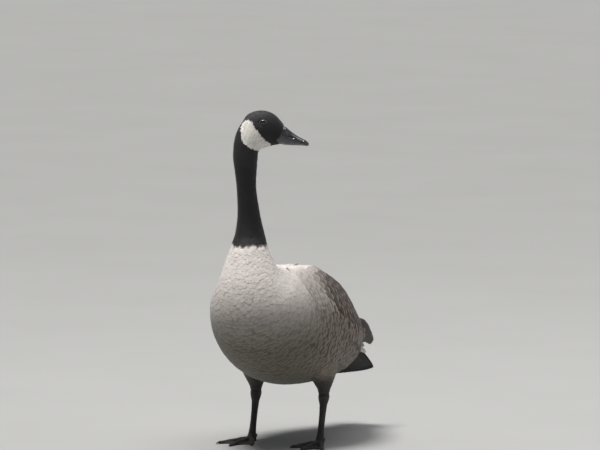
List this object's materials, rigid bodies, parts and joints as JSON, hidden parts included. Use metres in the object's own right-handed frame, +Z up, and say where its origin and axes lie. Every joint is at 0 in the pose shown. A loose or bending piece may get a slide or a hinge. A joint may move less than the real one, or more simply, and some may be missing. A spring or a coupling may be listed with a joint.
{
  "type": "canada goose model",
  "caption": "Life-size standing goose with a tall black neck, white cheek patch, folded wings, webbed feet and its head turned to the left.",
  "frame": {"origin": "on the ground, below the middle of the bird's bounding box", "axes": "+Z up, -Y the way the breast faces, +X the bird's left side"},
  "size_m": [0.2368, 0.5037, 0.6195],
  "materials": {
    "black_plumage": "soft matt black feathers",
    "white_plumage": "soft matt white feathers",
    "pale_plumage": "soft barred grey-brown feathers",
    "brown_plumage": "brown feathers with pale edges",
    "bill": "black horn with a low gloss",
    "eye": "dark polished eye",
    "leg_skin": "dark scaly skin"
  },
  "bodies": {
    "root": {"bill_lower": "bill", "bill_upper": "bill", "chinstrap": "white_plumage", "eye_left": "eye", "eye_right": "eye", "foot_left": "leg_skin", "foot_right": "leg_skin", "head": "black_plumage", "leg_left": "leg_skin", "leg_right": "leg_skin", "neck_lower": "black_plumage", "neck_upper": "black_plumage", "tail": "black_plumage", "thigh_left": "pale_plumage", "thigh_right": "pale_plumage", "torso": "pale_plumage", "undertail": "white_plumage", "wing_left": "brown_plumage", "wing_right": "brown_plumage"}
  },
  "joints": []
}
